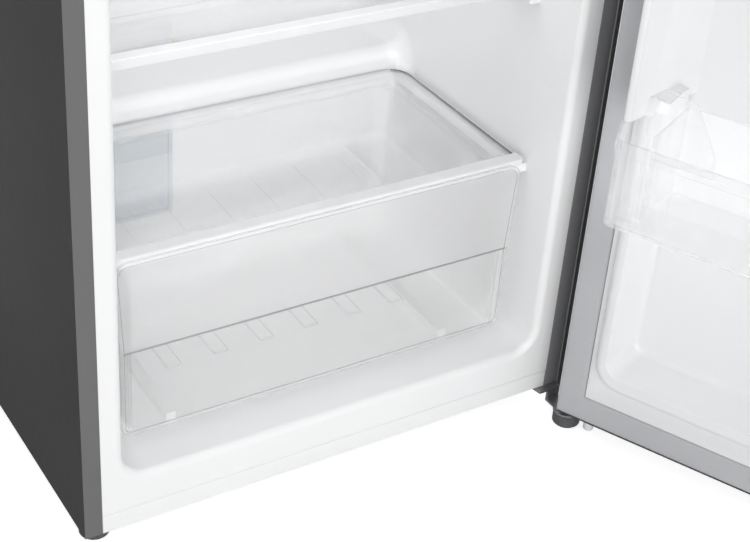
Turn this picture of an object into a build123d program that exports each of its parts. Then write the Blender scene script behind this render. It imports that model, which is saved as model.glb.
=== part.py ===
"""A free-standing under-counter larder fridge with its door open.

Millimetres, +Z up. X runs from the cabinet's left side to its right side, Y from the
front face into the cabinet. The model is built with the cabinet's lower left front
corner at zero and the door shut, the door group is swung open, and at the end
everything is moved so that the centre of the bottom of the whole is the origin.
"""
import os
from math import cos, radians, sin

from build123d import *

# Cabinet
width = 550
depth = 470
shell_height = 790
steel = 0.8
band_width = 18
rear_return = 12
top_band = 20
strip_height = 20.5
strip_seam = 0.5
strip_thick = 2
strip_lip = 10
pan_thick = 1.2
foot_height = 32

# Room inside the liner
liner_thick = 2
side_inset = 41
floor_level = 57
ceiling_level = shell_height - 40
back_inner = depth - 74
riser_inner = depth - 180
hump_level = 284
concave_radius = 28
hump_radius = 14
corner_radius = 26
mouth_radius = 8

# Compressor bay
bay_front = depth - 134
bay_top = 240
bay_sheet = 0.8

# Clearances
seat_gap = 0.3
pipe_gap = 0.2
pin_gap = 0.05

# Shelves and crisper
glass_thick = 4
ledge_width = 13
ledge_height = 9
ledge_start = 52
ledge_clear = 5
crisper_cover_top = 261
shelf_tops = [ceiling_level - 309, ceiling_level - 150]
glass_side_gap = 6
cover_front = 55
cover_back = riser_inner - 2
shelf_front = 76
shelf_back = back_inner - 12
trim_height = 9
trim_depth = 14.5
trim_lip = 2.5
trim_end_radius = 5
shelf_trim_height = 9
shelf_trim_depth = 13
drawer_front_face = 44
drawer_wall = 3
drawer_top = 263
drawer_bottom = 68
drawer_box_top = 246
drawer_half_top = width / 2 - 52.4
drawer_half_low = width / 2 - 58
drawer_mid = 165
drawer_back = riser_inner - 10
drawer_box_wall = 2.5
drawer_box_inset = 9
runner_height = 8.7
runner_width = 10
runner_inset = 45
flute_count = 6
flute_first = 142
flute_width = 16
flute_pitch = 53
flute_height = 2
flute_start = 125

# Door, given shut
pivot_x = width - 5
pivot_y = -30
door_open = 115.4
door_left = 0.5
door_right = width - 0.5
door_low = -9
door_high = shell_height - 6
door_face = -68
door_rim = -12
door_edge_radius = 7
door_steel = 0.6
cap_edge = 3
cap_deep = 16
gasket_gap = 0.3
gasket_width = 28.8
gasket_inset = 3.6
gasket_low = 1.7
gasket_high = shell_height - 10
magnet_width = 9
magnet_thick = 3
door_liner_thick = 1.6
dyke_side = 39
dyke_low = 56
dyke_high = ceiling_level + 1
dyke_crest = 8
dyke_radius = 10
dyke_corner = 30
pocket_crest_side = 52
pocket_crest_low = 75
pocket_draft = 10
pocket_floor = -40
pocket_corner = 14
tall_crest = 59
tall_outer = 45
tall_crest_width = 8
tall_foot_width = 30
tall_top = ceiling_level - 14
tall_low = tall_top - 348
tall_radius = 3.5

# Hinges and feet
pin_radius = 2.5
bush_wall = 1.3
bush_flange = 7
bush_flange_thick = 2.2
plate_thick = 3
plate_radius = 16
foot_radius = 15
foot_disc = 14
stud_radius = 4
foot_left_x = 25
foot_left_y = 40
knurls = 30
rear_foot_radius = 13
rear_foot_x = 40
rear_foot_y = depth - 40
stop_radius = 5.5
stop_length = 11

# Worktop
worktop_top = shell_height + 28
worktop_front = -8
worktop_back = depth + 8

# Condenser at the back
condenser_gap = 12
condenser_tube_radius = 2.4
condenser_runs = 11
condenser_low = 286
condenser_pitch = (shell_height - condenser_low - 64) / (condenser_runs - 1)
condenser_side = 45
wire_radius = 0.8
wire_count = 22

# Compressor, drain and condenser fittings
comp_x = 170
comp_y = depth - 67
comp_low = 26
comp_high = 176
comp_radius = 56
comp_wall = 3
relay_low = 50
relay_high = 98
comp_dome = 26
comp_foot_x = 62
comp_foot_y = 36
grommet_boss = 4
grommet_radius = 9
grommet_neck = 5
grommet_stud = 3
pump_radius = 36
pump_height = 70
spring_height = 14
spring_circle = 24
tube_end = 186
tray_deep = 22
tray_wall = 2
tray_reach = 62
tray_half = 50
tray_margin = 25
suction_x = width - 230
suction_radius = 4
condenser_inlet = width - 150
drier_x = width - 180
drier_radius = 8
drier_low = 60
drier_high = 150
spacer_width = 20
spacer_reach = 24
spacer_side = 24
spacer_low = shell_height - 100
spacer_high = shell_height - 60
inlet_side = 62
evaporator_side = 110
evaporator_low = ceiling_level - 330
evaporator_high = ceiling_level - 50

# Housing on the ceiling
house_left = width / 2 - 75
house_right = width / 2 + 75
house_front = 120
house_back = depth - 180
house_low = ceiling_level - 34
house_wall = 2
knob_radius = 17
knob_height = 12
shaft_radius = 3

# Door details, given shut
pocket_foot_radius = 8
recess_deep = 22
recess_front = -58
recess_back = -22
recess_low = door_high - 224
recess_high = door_high - 84
recess_wall = 2
stop_along = 31
stop_across = 11

# Door bins, given shut
bin_wall = 2.5
bin_free = 52
bin_hinge = width - 45
bin_front = 66.5
bin_band = 1.5
bin_step = 38
bin_low = shell_height - 510
bin_rim_high = bin_low + 91
bin_band_low = bin_low + 78
bin_ear_shoulder = bin_low + 108
bin_ear_peak = bin_low + 137
bin_rear_side = 70
boss_low = bin_low + 114
boss_high = bin_low + 126
upper_bin_side = 79
upper_bin_height = 95
upper_bin_low = tall_top - 146

# Hinge hardware
pin_step = 2
pin_reach = 14
web_y = -5
web_left = width - 17
bracket_left = width - 28
arm_front = -12
screw_radius = 2.5
cover_top = shell_height + 22
cover_side = 54
stud_length = 32
foot_collar = 6

pieces = {}


def block(x0, x1, y0, y1, z0, z1):
    return Pos((x0 + x1) / 2, (y0 + y1) / 2, (z0 + z1) / 2) * Box(x1 - x0, y1 - y0, z1 - z0)


def post(x, y, z0, z1, radius):
    return Pos(x, y, (z0 + z1) / 2) * Cylinder(radius, z1 - z0)


def bar_x(x0, x1, y, z, radius):
    return Pos((x0 + x1) / 2, y, z) * Rot(0, 90, 0) * Cylinder(radius, x1 - x0)


def bar_y(x, y0, y1, z, radius):
    return Pos(x, (y0 + y1) / 2, z) * Rot(90, 0, 0) * Cylinder(radius, y1 - y0)


def outline(points, radii):
    """A closed face through the points, each corner rounded by its own radius."""
    face = make_face(Polyline(*points, close=True))
    for (x, y), radius in zip(points, radii):
        if radius > 0:
            corner = face.vertices().sort_by_distance((x, y, 0))[0]
            face = fillet(corner, radius)
    return face


def across(points, radii, x0, x1):
    """A profile in Y and Z, run along X."""
    return extrude(Plane.YZ.offset(x0) * outline(points, radii), x1 - x0)


def upright(points, radii, z0, z1):
    """A profile in X and Y, run along Z."""
    return extrude(Pos(0, 0, z0) * outline(points, radii), z1 - z0)


def frontal(points, radii, y0, y1):
    """A profile in X and Z, run along Y."""
    return extrude(Pos(0, y1, 0) * (Plane.XZ * outline(points, radii)), y1 - y0)


def pipe(points, radii, radius):
    path = FilletPolyline(*points, radius=radii)
    section = Plane(origin=path @ 0, z_dir=path % 0) * Circle(radius)
    return sweep(section, path)


# Liner and foam

ledge_tops = [crisper_cover_top - glass_thick - seat_gap]
for top in shelf_tops:
    ledge_tops.append(top - glass_thick - seat_gap)
ledge_backs = [cover_back, shelf_back, shelf_back]
ledge_fronts = [ledge_start, tall_crest + ledge_clear, tall_crest + ledge_clear]


def cavity(grow):
    """The room inside the cabinet, grown outwards into the insulation."""
    front = -60
    points = [(front, floor_level - grow), (riser_inner + grow, floor_level - grow),
              (riser_inner + grow, hump_level - grow), (back_inner + grow, hump_level - grow),
              (back_inner + grow, ceiling_level + grow), (front, ceiling_level + grow)]
    radii = [0, concave_radius + grow, hump_radius - grow, concave_radius + grow,
             concave_radius + grow, 0]
    room = across(points, radii, side_inset - grow, width - side_inset + grow)
    groups = room.edges().group_by(Axis.X)
    rims = [e for e in groups[0] + groups[-1] if e.center().Y > front + 1]
    room = fillet(rims, corner_radius + grow)
    for top, start, back in zip(ledge_tops, ledge_fronts, ledge_backs):
        low = top - ledge_height
        inner = side_inset + ledge_width - grow
        room -= block(0, inner, start + grow, back - grow, low + grow, top - grow)
        room -= block(width - inner, width, start + grow, back - grow, low + grow, top - grow)
    return room


def mouth(x0, x1, y0, y1, z0, z1, grow):
    """A block with the room cut out of it and the room's mouth rounded."""
    body = block(x0, x1, y0, y1, z0, z1) - cavity(grow)
    face = body.faces().filter_by(Axis.Y).sort_by(Axis.Y)[0]
    return fillet(face.inner_wires()[0].edges(), mouth_radius - grow)


liner_left = band_width
liner_right = width - band_width
liner_bottom = strip_height + strip_seam
liner_top = shell_height - top_band
drain_x = width / 2
drain_y = back_inner - concave_radius / 2
drain_radius = 7

skin_side = mouth(liner_left, liner_right, 0, depth, liner_bottom, liner_top, 0)
foam_side = mouth(liner_left - 1, liner_right + 1, liner_thick, depth + 1, liner_bottom - 1,
                  liner_top + 1, liner_thick)
drain_hole = post(drain_x, drain_y, bay_top - 20, hump_level + 20, drain_radius + pipe_gap)
inner_liner = skin_side - foam_side - drain_hole

foam = mouth(steel, width - steel, liner_thick, depth - steel, strip_thick, shell_height - steel,
             liner_thick)
foam -= block(0, width, bay_front, depth, 0, bay_top)
foam -= drain_hole
pieces["inner_liner"] = inner_liner
pieces["cabinet_foam"] = foam

# Steel shell

def side_sheet(x0, x1, front, back):
    """One side panel with its front and rear returns, in plan."""
    sheet = block(x0, x1, 0, depth, 0, shell_height)
    sheet += block(min(x0, front), max(x1, front), 0, steel, 0, shell_height)
    sheet += block(min(x0, back), max(x1, back), depth - steel, depth, 0, shell_height)
    return sheet


pieces["side_panel_left"] = side_sheet(0, steel, band_width, rear_return)
pieces["side_panel_right"] = side_sheet(width - steel, width, width - band_width,
                                        width - rear_return)

top_sheet = block(steel, width - steel, steel, depth - steel, shell_height - steel, shell_height)
top_sheet += block(band_width, width - band_width, 0, steel, liner_top, shell_height)
pieces["top_panel"] = top_sheet

front_strip = block(band_width, width - band_width, 0, strip_thick, 0, strip_height)
front_strip += block(band_width, width - band_width, strip_thick, strip_thick + strip_lip,
                     0, strip_thick)
pieces["front_strip"] = front_strip
pieces["cabinet_foam"] -= block(0, width, 0, strip_thick + strip_lip, 0, strip_thick)

pan = block(steel, width - steel, strip_thick + strip_lip, depth - steel, 0, pan_thick)

pieces["back_panel"] = block(rear_return, width - rear_return, depth - steel, depth,
                             bay_top, shell_height - steel)

bay = block(steel, width - steel, bay_front, bay_front + bay_sheet, pan_thick, bay_top)
bay += block(steel, width - steel, bay_front, depth - steel, bay_top - bay_sheet, bay_top)
bay -= drain_hole
pieces["bay_liner"] = bay
pieces["drain_tube"] = (post(drain_x, drain_y, tube_end, hump_level, drain_radius)
                        - post(drain_x, drain_y, tube_end, hump_level, drain_radius - 1.5))

# Compressor and its fittings

shell_body = fillet(post(comp_x, comp_y, comp_low, comp_high, comp_radius).edges(), comp_dome)
shell_room = fillet(post(comp_x, comp_y, comp_low + comp_wall, comp_high - comp_wall,
                         comp_radius - comp_wall).edges(), comp_dome - comp_wall)
foot_plate = block(comp_x - comp_foot_x - 13, comp_x + comp_foot_x + 13,
                   comp_y - comp_foot_y - 10, comp_y + comp_foot_y + 10, comp_low - 2, comp_low + 1)
compressor_shell = shell_body + foot_plate - shell_room
grommets = []
for dx in (-comp_foot_x, comp_foot_x):
    for dy in (-comp_foot_y, comp_foot_y):
        x, y = comp_x + dx, comp_y + dy
        seat = pan_thick + grommet_boss
        pan += post(x, y, pan_thick, seat, grommet_radius)
        pan += post(x, y, seat, comp_low + 8, grommet_stud)
        compressor_shell -= post(x, y, comp_low - 3, comp_low + 2, grommet_neck + pin_gap)
        grommet = post(x, y, seat, comp_low - 2, grommet_radius)
        grommet += post(x, y, comp_low - 2, comp_low + 1, grommet_neck)
        grommet += post(x, y, comp_low + 1, comp_low + 5, grommet_radius - 2)
        grommet -= post(x, y, seat, comp_low + 5, grommet_stud + pin_gap)
        grommets.append(grommet)
pieces["compressor_shell"] = compressor_shell
pieces["compressor_grommets"] = Compound(grommets)

pump_low = comp_low + comp_wall + spring_height
pump = post(comp_x, comp_y, pump_low, pump_low + pump_height, pump_radius)
pump += post(comp_x, comp_y, pump_low + pump_height, comp_high - comp_wall - 12, pump_radius / 2)
pump += block(comp_x, comp_x + pump_radius + 8, comp_y - 14, comp_y + 14,
              pump_low + pump_height - 30, pump_low + pump_height - 2)
pieces["compressor_pump"] = pump
springs = []
for angle in (45, 135, 225, 315):
    x = comp_x + spring_circle * cos(radians(angle))
    y = comp_y + spring_circle * sin(radians(angle))
    springs.append(post(x, y, comp_low + comp_wall, pump_low, 5))
pieces["compressor_springs"] = Compound(springs)

relay = block(comp_x + comp_radius - 18, comp_x + comp_radius + 24, comp_y - 20, comp_y + 20,
              comp_low + relay_low, comp_low + relay_high)
pieces["relay_box"] = relay - shell_body

tray_low = comp_high + seat_gap
tray_body = block(comp_x - tray_reach, drain_x + tray_margin, comp_y - tray_half, comp_y + tray_half,
                  tray_low, tray_low + tray_deep)
tray_room = block(comp_x - tray_reach + tray_wall, drain_x + tray_margin - tray_wall,
                  comp_y - tray_half + tray_wall, comp_y + tray_half - tray_wall,
                  tray_low + tray_wall, tray_low + tray_deep)
pieces["drip_tray"] = tray_body - tray_room

suction = pipe([(comp_x + 20, comp_y, comp_high - 26), (suction_x, comp_y, comp_high - 26),
                (suction_x, bay_front + bay_sheet, comp_high - 26)], 15, suction_radius)
pieces["suction_pipe"] = suction - shell_body

condenser_y = depth + condenser_gap
discharge_z = comp_low + 34
discharge = pipe([(comp_x + 20, comp_y, discharge_z), (condenser_inlet, comp_y, discharge_z),
                  (condenser_inlet, condenser_y, discharge_z),
                  (condenser_inlet, condenser_y, condenser_low - 46)], 14, condenser_tube_radius)
pieces["discharge_pipe"] = discharge - shell_body

drier = post(drier_x, bay_front + bay_sheet + drier_radius + pin_gap, drier_low, drier_high,
             drier_radius)
drier = fillet(drier.edges(), drier_radius - 2)
pieces["filter_drier"] = drier

# Condenser grid on the back

run = [(condenser_inlet, condenser_y, condenser_low - 46), (condenser_inlet, condenser_y, condenser_low)]
right, left = width - condenser_side, condenser_side
for i in range(condenser_runs):
    z = condenser_low + i * condenser_pitch
    side = right if i % 2 == 0 else left
    run.append((side, condenser_y, z))
    if i < condenser_runs - 1:
        run.append((side, condenser_y, z + condenser_pitch))
run.pop(1)
run.insert(1, (condenser_inlet, condenser_y, condenser_low))
pieces["condenser_tube"] = pipe(run, condenser_pitch / 2 - 0.5, condenser_tube_radius)

condenser_top = condenser_low + (condenser_runs - 1) * condenser_pitch
wire_y = condenser_y + condenser_tube_radius + wire_radius + pin_gap
wires = []
for i in range(wire_count):
    x = left + 30 + i * (right - left - 60) / (wire_count - 1)
    wires.append(post(x, wire_y, condenser_low - 8, condenser_top + 8, wire_radius))
pieces["condenser_wires"] = Compound(wires)

bracket_reach = condenser_y - condenser_tube_radius
brackets = []
for x in (left + 45, right - 45):
    for z in (condenser_low + condenser_pitch, condenser_top - condenser_pitch):
        brackets.append(block(x - 8, x + 8, depth, bracket_reach, z - 9, z + 9))
pieces["condenser_brackets"] = Compound(brackets)

spacers = []
for x in (spacer_side, width - spacer_side):
    spacer = block(x - spacer_width / 2, x + spacer_width / 2, depth, depth + spacer_reach,
                   spacer_low, spacer_high)
    spacers.append(fillet(spacer.edges().filter_by(Axis.X), 6))
pieces["wall_spacers"] = Compound(spacers)

inlet_x = width - inlet_side
inlet = block(inlet_x - 20, inlet_x + 20, depth, depth + 12, bay_top + 4, bay_top + 32)
inlet += post(inlet_x, depth + 6, bay_top - 6, bay_top + 4, 5)
inlet -= post(inlet_x, depth + 6, bay_top - 7, bay_top + 10, 3)
pieces["mains_inlet"] = inlet

# Evaporator plate behind the liner's back wall

plate_y = back_inner + liner_thick + pipe_gap
evaporator = block(evaporator_side, width - evaporator_side, plate_y, plate_y + 1.5,
                   evaporator_low, evaporator_high)
for i in range(6):
    z = evaporator_low + 25 + i * (evaporator_high - evaporator_low - 50) / 5
    evaporator += bar_x(evaporator_side + 15, width - evaporator_side - 15, plate_y + 1.5, z, 3)
evaporator -= block(0, width, 0, plate_y, 0, shell_height)
pieces["evaporator"] = evaporator
pieces["cabinet_foam"] -= block(evaporator_side - 0.5, width - evaporator_side + 0.5,
                                back_inner + liner_thick - 1, plate_y + 5,
                                evaporator_low - 0.5, evaporator_high + 0.5)

# Worktop

worktop = block(0, width, worktop_front, worktop_back, shell_height, worktop_top)
worktop = fillet(worktop.edges().filter_by(Axis.Z), 8)
worktop = fillet(worktop.faces().sort_by(Axis.Z)[-1].edges(), 3)

# Crisper cover, drawer and shelves

glass_left = side_inset + glass_side_gap
glass_right = width - glass_left
lip_left = side_inset + ledge_width + 2
lip_right = width - lip_left


def glass(front, back, top):
    plate = block(glass_left, glass_right, front, back, top - glass_thick, top)
    corners = plate.edges().filter_by(Axis.Z).group_by(Axis.Y)
    plate = fillet(corners[0], 3)
    return fillet(plate.edges().filter_by(Axis.Z).group_by(Axis.Y)[-1], corner_radius - 2)


def front_trim(front, depth_over, glass_front, top, height):
    """A moulded edge over the front of a glass shelf, its lower lip between the ledges."""
    low = top + trim_lip - height
    under = top - glass_thick + pin_gap
    body = block(glass_left - 2, glass_right + 2, front, front + depth_over, under, top + trim_lip)
    ends = body.edges().filter_by(Axis.Z).group_by(Axis.Y)[0]
    body = fillet(ends, trim_end_radius)
    body = fillet(body.faces().sort_by(Axis.Z)[-1].edges().group_by(Axis.Y)[0], 1)
    body += block(lip_left, lip_right, front, front + depth_over - 4, low, under)
    return body - block(glass_left, glass_right, glass_front, front + depth_over + 1,
                        top - glass_thick, top)


def rear_trim(back, top):
    body = block(glass_left, glass_right, back - 12, back + 2, top - glass_thick, top + 7)
    body += block(lip_left, lip_right, back - 12, back + 2, top - glass_thick - 3, top - glass_thick)
    return body - block(glass_left - 1, glass_right + 1, back - 13, back, top - glass_thick, top)


pieces["crisper_glass"] = glass(cover_front, cover_back, crisper_cover_top)
pieces["crisper_trim"] = front_trim(cover_front - 4.5, trim_depth, cover_front, crisper_cover_top,
                                    trim_height)
for name, top in zip(["shelf_lower", "shelf_upper"], shelf_tops):
    pieces[name + "_glass"] = glass(shelf_front + 4, shelf_back - 2, top)
    pieces[name + "_front_trim"] = front_trim(shelf_front, shelf_trim_depth, shelf_front + 4, top,
                                              shelf_trim_height)
    pieces[name + "_rear_trim"] = rear_trim(shelf_back - 2, top)

middle = width / 2
panel_back = drawer_front_face + drawer_wall
drawer_panel = frontal(
    [(middle - drawer_half_low, drawer_bottom), (middle + drawer_half_low, drawer_bottom),
     (middle + drawer_half_low, drawer_mid), (middle + drawer_half_top, drawer_top),
     (middle - drawer_half_top, drawer_top), (middle - drawer_half_low, drawer_mid)],
    [10, 10, 0, 15, 15, 0], drawer_front_face, panel_back)
drawer_floor = floor_level + runner_height + seat_gap
box_half = drawer_half_low - drawer_box_inset
drawer_box = block(middle - box_half, middle + box_half, drawer_front_face + 1, drawer_back,
                   drawer_floor, drawer_box_top)
drawer_box = fillet(drawer_box.edges().filter_by(Axis.Y).group_by(Axis.Z)[0], 8)
drawer_box = fillet(drawer_box.edges().filter_by(Axis.Z).group_by(Axis.Y)[-1], 16)
inside = box_half - drawer_box_wall
drawer_room = block(middle - inside, middle + inside, panel_back, drawer_back - drawer_box_wall,
                    drawer_floor + drawer_box_wall, drawer_top + 1)
drawer_room = fillet(drawer_room.edges().filter_by(Axis.Y).group_by(Axis.Z)[0], 6)
drawer_room = fillet(drawer_room.edges().filter_by(Axis.Z).group_by(Axis.Y)[-1], 14)
rim = block(middle - box_half - 4, middle + box_half + 4, panel_back, drawer_back + 2,
            drawer_box_top - drawer_box_wall, drawer_box_top)
drawer = drawer_panel + drawer_box + rim - drawer_room
for i in range(flute_count):
    x = flute_first + i * flute_pitch
    drawer += block(x, x + flute_width, flute_start, drawer_back - 22,
                    drawer_floor + drawer_box_wall / 2, drawer_floor + drawer_box_wall + flute_height)
pieces["crisper_drawer"] = drawer

for x in (middle - box_half + runner_inset, middle + box_half - runner_inset - runner_width):
    pieces["inner_liner"] += block(x, x + runner_width, ledge_start + 10, drawer_back - 8,
                                   floor_level - liner_thick / 2, floor_level + runner_height)

# Lamp and thermostat housing on the ceiling

house_room = block(house_left + house_wall, house_right - house_wall, house_front + house_wall,
                   house_back - house_wall, house_low + house_wall, ceiling_level)
housing = block(house_left, house_right, house_front, house_back, house_low, ceiling_level)
housing = fillet(housing.edges().filter_by(Axis.Z), 10)
housing = fillet(housing.faces().sort_by(Axis.Z)[0].edges(), 5)
knob_x = house_right - 45
knob_y = (house_front + house_back) / 2
lens_right = knob_x - 40
housing -= house_room
housing -= post(knob_x, knob_y, house_low - 1, house_low + house_wall + 1, shaft_radius + seat_gap)
housing -= block(house_left + 12, lens_right, house_front + 14, house_back - 14,
                 house_low - 1, house_low + house_wall + 1)
pieces["control_housing"] = housing
lens = block(house_left + 12.2, lens_right - 0.2, house_front + 14.2, house_back - 14.2,
             house_low + 0.2, house_low + house_wall)
lens += block(house_left + 10, lens_right + 2, house_front + 12, house_back - 12,
              house_low + house_wall, house_low + house_wall + 1.5)
pieces["lamp_lens"] = lens
lamp = post((house_left + lens_right) / 2, knob_y, ceiling_level - 12, ceiling_level, 12)
lamp += post((house_left + lens_right) / 2, knob_y, ceiling_level - 22, ceiling_level - 12, 8)
pieces["lamp"] = lamp
thermostat = block(knob_x - 18, knob_x + 18, knob_y - 14, knob_y + 14, ceiling_level - 20,
                   ceiling_level)
pieces["thermostat"] = thermostat - post(knob_x, knob_y, ceiling_level - 21, ceiling_level - 9,
                                         shaft_radius + pin_gap)
knob = post(knob_x, knob_y, house_low - knob_height - seat_gap, house_low - seat_gap, knob_radius)
knob = chamfer(knob.faces().sort_by(Axis.Z)[0].edges(), 2)
knob -= block(knob_x + 4, knob_x + knob_radius, knob_y - 1, knob_y + 1,
              house_low - knob_height - 2, house_low - knob_height + 0.7)
knob += post(knob_x, knob_y, house_low - seat_gap, ceiling_level - 10, shaft_radius)
pieces["thermostat_knob"] = knob

# Lower hinge, upper hinge and feet

plate_top = door_low - bush_flange_thick - seat_gap - pin_step
plate_low = plate_top - plate_thick
web_front = web_y - plate_thick
bracket = upright([(bracket_left - 14, 60), (bracket_left, web_front), (width - 1, web_front),
                   (width - 1, 60)], [6, 0, 0, 6], -plate_thick, 0)
bracket += block(web_left, width - 1, web_front, web_y, plate_low, 0)
plate = block(web_left, width - 1, pivot_y, web_y, plate_low, plate_top)
plate += post(pivot_x, pivot_y, plate_low, plate_top, plate_radius)
bracket += plate
bracket += post(pivot_x, pivot_y, plate_top, plate_top + pin_step, bush_flange)
bracket += post(pivot_x, pivot_y, plate_top + pin_step, door_low + pin_reach, pin_radius)
bracket -= post(pivot_x, pivot_y, plate_low - 1, plate_top - 0.2, stud_radius + pin_gap)
screw_places = [(width - 14, 18), (bracket_left + 8, 44)]
for x, y in screw_places:
    bracket -= post(x, y, -plate_thick - 1, 1, screw_radius + 0.2)
    pan -= post(x, y, -1, pan_thick + 1, screw_radius + 0.2)
    pieces["cabinet_foam"] -= post(x, y, 0, 14, screw_radius + 0.2)
pieces["lower_hinge"] = bracket

arm_low = shell_height
arm_top = arm_low + plate_thick
arm = block(width - 52, width - 4, arm_front, 40, arm_low, arm_top)
arm += upright([(width - 52, arm_front), (width - 4, arm_front), (pivot_x + 4, pivot_y - 6),
                (pivot_x - 12, pivot_y - 6)], [0, 0, 3, 3], arm_low, arm_top)
arm += post(pivot_x, pivot_y, arm_low, arm_top, 7)
arm += post(pivot_x, pivot_y, door_high - pin_reach, arm_low, pin_radius)
upper_places = [(width - 16, 28), (width - 40, 28)]
for x, y in upper_places:
    arm -= post(x, y, arm_low - 1, arm_top + 1, screw_radius + 0.2)
    pieces["top_panel"] -= post(x, y, arm_low - 3, arm_low + 1, screw_radius + 0.2)
    pieces["cabinet_foam"] -= post(x, y, arm_low - 14, arm_low, screw_radius + 0.2)
pieces["upper_hinge"] = arm
screws = []
for x, y in screw_places:
    screws.append(post(x, y, -plate_thick - 2, -plate_thick, screw_radius + 2)
                  + post(x, y, -plate_thick, 12, screw_radius))
for x, y in upper_places:
    screws.append(post(x, y, arm_top, arm_top + 2, screw_radius + 2)
                  + post(x, y, arm_low - 12, arm_top, screw_radius))
pieces["hinge_screws"] = Compound(screws)

cover = block(width - cover_side, pivot_x + 11, pivot_y - 12, worktop_front - seat_gap, arm_top, cover_top)
cover = fillet(cover.edges().filter_by(Axis.Z).group_by(Axis.Y)[0], 6)
cover = fillet(cover.faces().sort_by(Axis.Z)[-1].edges(), 2)
pieces["hinge_cover"] = cover - block(width - cover_side + 2, pivot_x + 9, pivot_y - 10,
                                      worktop_front - 2.3, arm_top + 4, cover_top - 2)

worktop -= block(width - 60, width + 1, worktop_front - 1, 48, arm_low - 1, arm_top + 2.5)
pieces["worktop"] = worktop


def disc(x, y, stud_top):
    """A knurled levelling foot with its threaded stud."""
    foot = post(x, y, -foot_height, -foot_height + foot_disc, foot_radius)
    foot = chamfer(foot.faces().sort_by(Axis.Z)[0].edges(), 2)
    foot += post(x, y, -foot_height + foot_disc, stud_top, stud_radius)
    for i in range(knurls):
        angle = radians(360 * i / knurls)
        gx = x + (foot_radius + 0.6) * cos(angle)
        gy = y + (foot_radius + 0.6) * sin(angle)
        foot -= post(gx, gy, -foot_height, -foot_height + foot_disc, 1.1)
    return foot


left_stud_top = stud_length - foot_height + foot_disc
pieces["foot_left"] = disc(foot_left_x, foot_left_y, left_stud_top)
pan -= post(foot_left_x, foot_left_y, -1, pan_thick + 1, stud_radius + pin_gap)
pieces["cabinet_foam"] -= post(foot_left_x, foot_left_y, 0, left_stud_top + 2, stud_radius + seat_gap)
pieces["foot_right"] = disc(pivot_x, pivot_y, plate_top - 0.3)
pan += post(foot_left_x, foot_left_y, -foot_collar, 0, stud_radius + 4) - post(
    foot_left_x, foot_left_y, -foot_collar - 1, 1, stud_radius + pin_gap)
rear_feet = []
for x in (rear_foot_x, width - rear_foot_x):
    foot = post(x, rear_foot_y, -foot_height, 0, rear_foot_radius)
    rear_feet.append(fillet(foot.faces().sort_by(Axis.Z)[0].edges(), 2))
pieces["rear_feet"] = Compound(rear_feet)
pieces["base_pan"] = pan
pieces["cabinet_foam"] -= pieces["inner_liner"]

# Door, modelled shut

cap_low = door_low + cap_deep
cap_high = door_high - cap_deep


def door_slab(inset, z0, z1, back=door_rim):
    slab = block(door_left + inset, door_right - inset, door_face + inset, back, z0, z1)
    return fillet(slab.edges().filter_by(Axis.Z).group_by(Axis.Y)[0], door_edge_radius - inset)


def framed(x0, x1, z0, z1, radius, y):
    face = Plane.XZ * RectangleRounded(x1 - x0, z1 - z0, radius)
    return Pos((x0 + x1) / 2, y, (z0 + z1) / 2) * face


def relief(grow):
    """The inner side of the door, its surface drawn in by the liner's thickness."""
    body = door_slab(door_steel, cap_low, cap_high, door_rim - grow)
    ring = block(dyke_side + grow, width - dyke_side - grow, door_rim - 8, dyke_crest - grow,
                 dyke_low + grow, dyke_high - grow)
    ring = fillet(ring.edges().filter_by(Axis.Y), dyke_corner - grow)
    ring = fillet(ring.faces().sort_by(Axis.Y)[-1].edges(), dyke_radius - grow)
    body += ring
    over = 4
    spread = pocket_draft * over / (dyke_crest - pocket_floor)
    side = pocket_crest_side - grow
    low = pocket_crest_low - grow
    high = dyke_high - (pocket_crest_low - dyke_low) + grow
    near = framed(side - spread, width - side + spread, low - spread, high + spread,
                  pocket_corner + 4, dyke_crest + over)
    far = framed(side + pocket_draft, width - side - pocket_draft, low + pocket_draft,
                 high - pocket_draft, pocket_corner, pocket_floor - grow)
    pocket = loft([near, far])
    pocket = fillet(pocket.faces().sort_by(Axis.Y)[0].edges(), pocket_foot_radius)
    body -= pocket
    crest_radius = min(tall_radius, (tall_crest_width - 2 * grow) / 2 - seat_gap)
    for side_sign in (-1, 1):
        edge = middle + side_sign * (middle - tall_outer - grow)
        inner = middle + side_sign * (middle - tall_outer - tall_crest_width + grow)
        foot = middle + side_sign * (middle - tall_outer - tall_foot_width + grow)
        points = [(edge, door_rim - 8), (edge, tall_crest - grow), (inner, tall_crest - grow),
                  (foot, pocket_floor - grow - 3)]
        points.append((edge, pocket_floor - grow - 3))
        tall = upright(points, [0, crest_radius, crest_radius, 0, 0],
                       tall_low + grow, tall_top - grow)
        body += tall & block(0, width, door_face + 5, tall_crest + 1, 0, shell_height)
    return body


skin = door_slab(0, door_low + cap_edge, door_high - cap_edge)
skin -= door_slab(door_steel, door_low, door_high, door_rim + 1)
seen_side = relief(0)
buried_side = relief(door_liner_thick)
door_liner = seen_side - buried_side
door_foam = buried_side

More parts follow.
